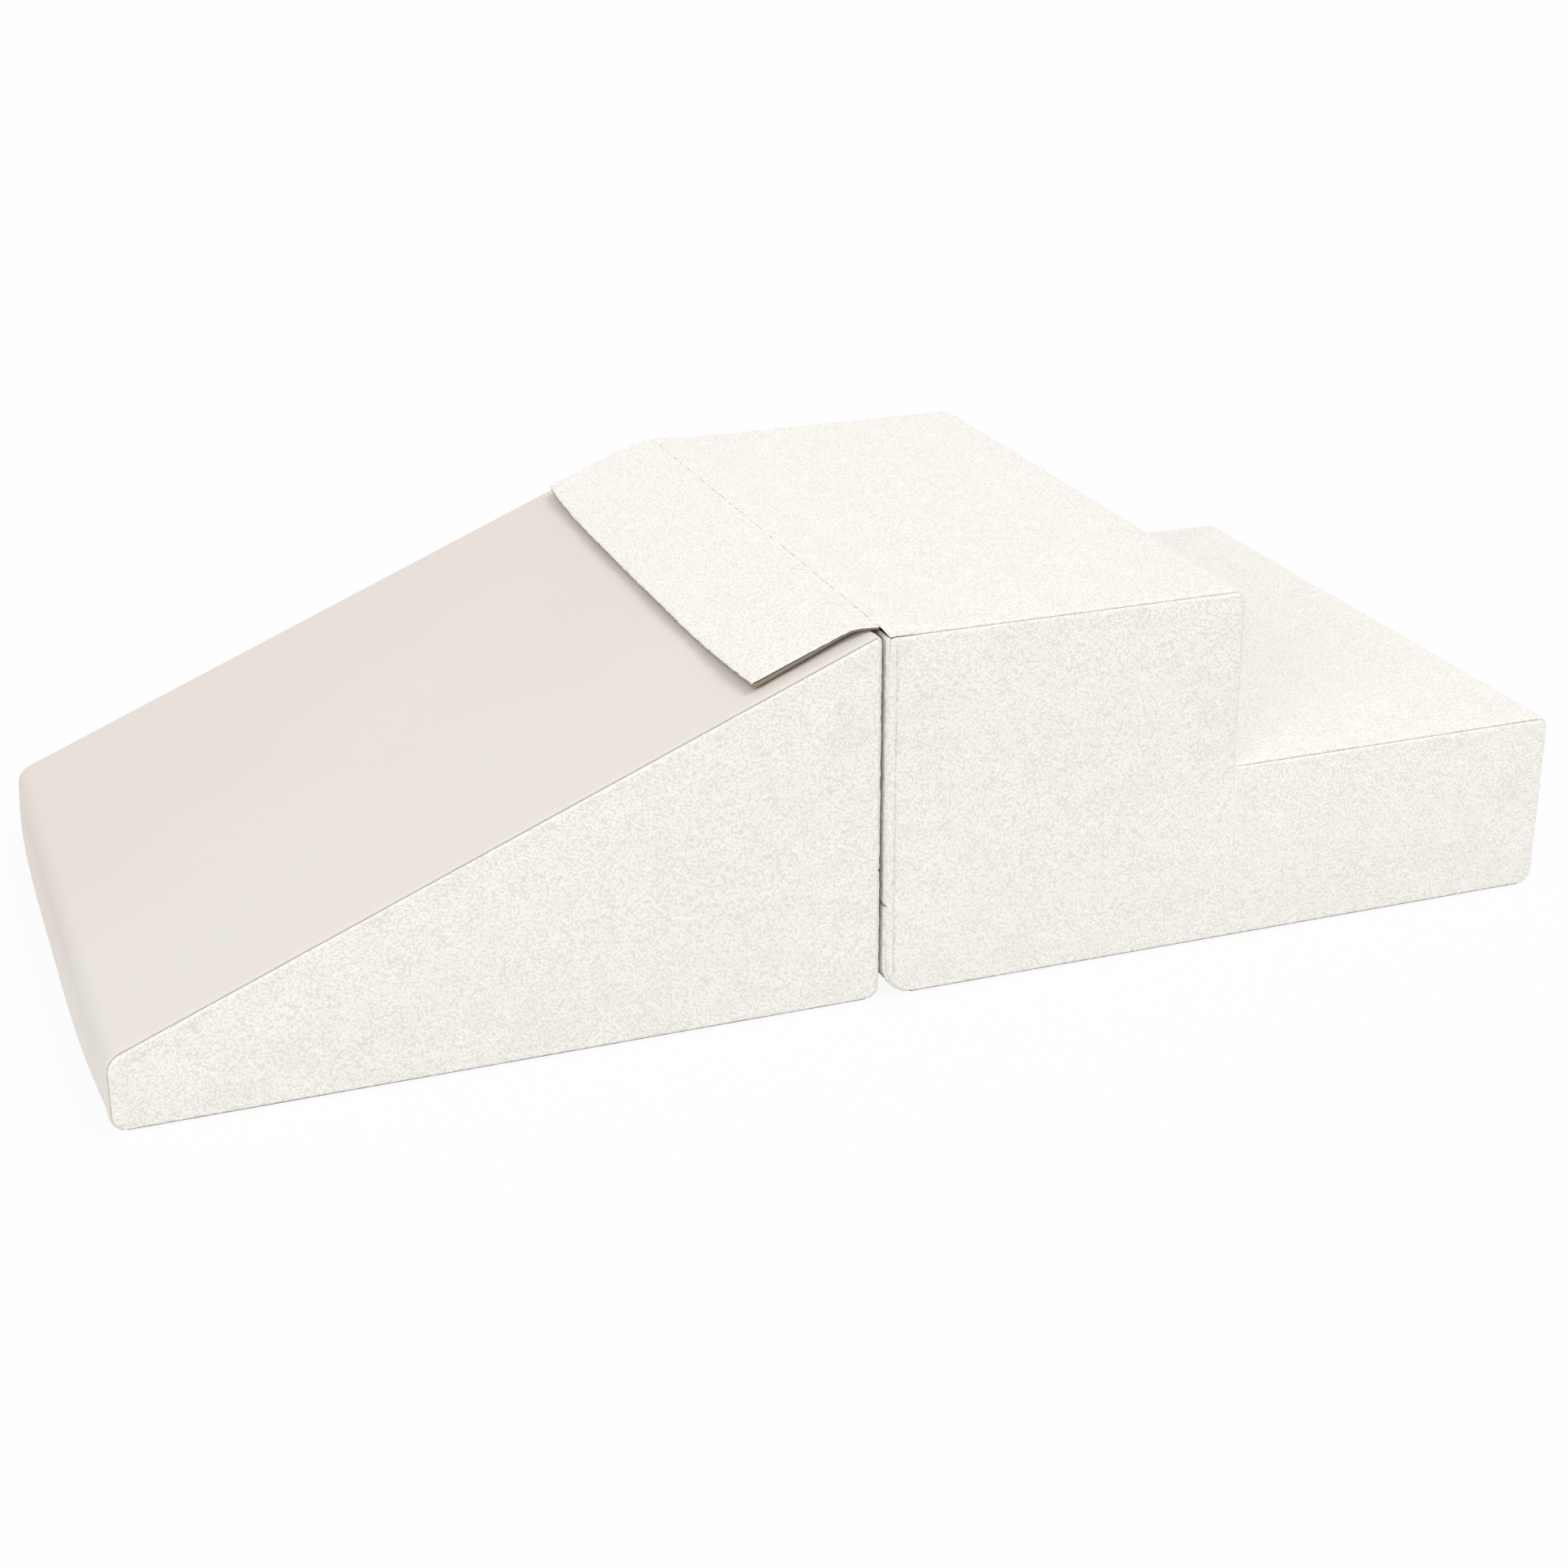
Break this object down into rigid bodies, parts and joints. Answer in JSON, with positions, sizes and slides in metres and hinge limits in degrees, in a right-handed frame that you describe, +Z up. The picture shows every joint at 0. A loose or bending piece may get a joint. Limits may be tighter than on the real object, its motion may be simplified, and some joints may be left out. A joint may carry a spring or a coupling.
{
  "type": "soft play foam climber",
  "caption": "Toddler climbing set: a padded foam wedge slide and a foam step block, covered in cloth and joined by a sewn flap that folds back.",
  "frame": {"origin": "on the floor, at the middle of the whole length and width", "axes": "+X from the slide's nose towards the lower step, +Y towards the far side, +Z up"},
  "size_m": [1.223, 0.588, 0.3103],
  "materials": {
    "boucle": "cream boucle cloth with small loops",
    "faux_leather": "smooth matt beige faux leather",
    "base_cloth": "grey non-slip base cloth",
    "foam": "open-cell foam",
    "zip_tape": "woven zip tape",
    "zip_coil": "nylon coil",
    "zip_slider": "painted die-cast slider",
    "lining": "brown-grey brushed lining cloth",
    "loop_tape": "soft loop tape",
    "hook_tape": "hook tape"
  },
  "bodies": {
    "step_module": {"step_back_panel_lower": "boucle", "step_back_panel_upper": "boucle", "step_base_panel": "base_cloth", "step_foam_base_block": "foam", "step_foam_top_block": "foam", "step_front_panel": "boucle", "step_riser_panel": "boucle", "step_side_panel_far": "boucle", "step_side_panel_near": "boucle", "step_top_panel": "boucle", "step_tread_panel": "boucle", "step_zip_coil_lower": "zip_coil", "step_zip_coil_upper": "zip_coil", "step_zip_tape_lower": "zip_tape", "step_zip_tape_upper": "zip_tape"},
    "slide_module": {"slide_back_panel_lower": "boucle", "slide_back_panel_upper": "boucle", "slide_base_panel": "base_cloth", "slide_foam_core": "foam", "slide_loop_strip": "loop_tape", "slide_side_panel_far": "boucle", "slide_side_panel_near": "boucle", "slide_slope_panel": "faux_leather", "slide_zip_coil_lower": "zip_coil", "slide_zip_coil_upper": "zip_coil", "slide_zip_tape_lower": "zip_tape", "slide_zip_tape_upper": "zip_tape"},
    "connector_flap": {"flap_face_panel": "boucle", "flap_filler": "foam", "flap_hook_strip": "hook_tape", "flap_lining": "lining"},
    "slide_zip_slider": {"slide_zip_slider": "zip_slider"},
    "step_zip_slider": {"step_zip_slider": "zip_slider"}
  },
  "joints": [
    {"name": "slide_pulls_away", "type": "slide", "parent": "step_module", "child": "slide_module", "axis": [0, -1, 0], "range_m": [0, 0.65]},
    {"name": "flap_hinge", "type": "hinge", "parent": "step_module", "child": "connector_flap", "pos_m": [0.0045, 0, 0.31056], "axis": [0, 1, 0], "range_deg": [0, 180]},
    {"name": "slide_zip", "type": "slide", "parent": "slide_module", "child": "slide_zip_slider", "axis": [0, -1, 0], "range_m": [0, 0.53]},
    {"name": "step_zip", "type": "slide", "parent": "step_module", "child": "step_zip_slider", "axis": [0, -1, 0], "range_m": [0, 0.53]}
  ]
}
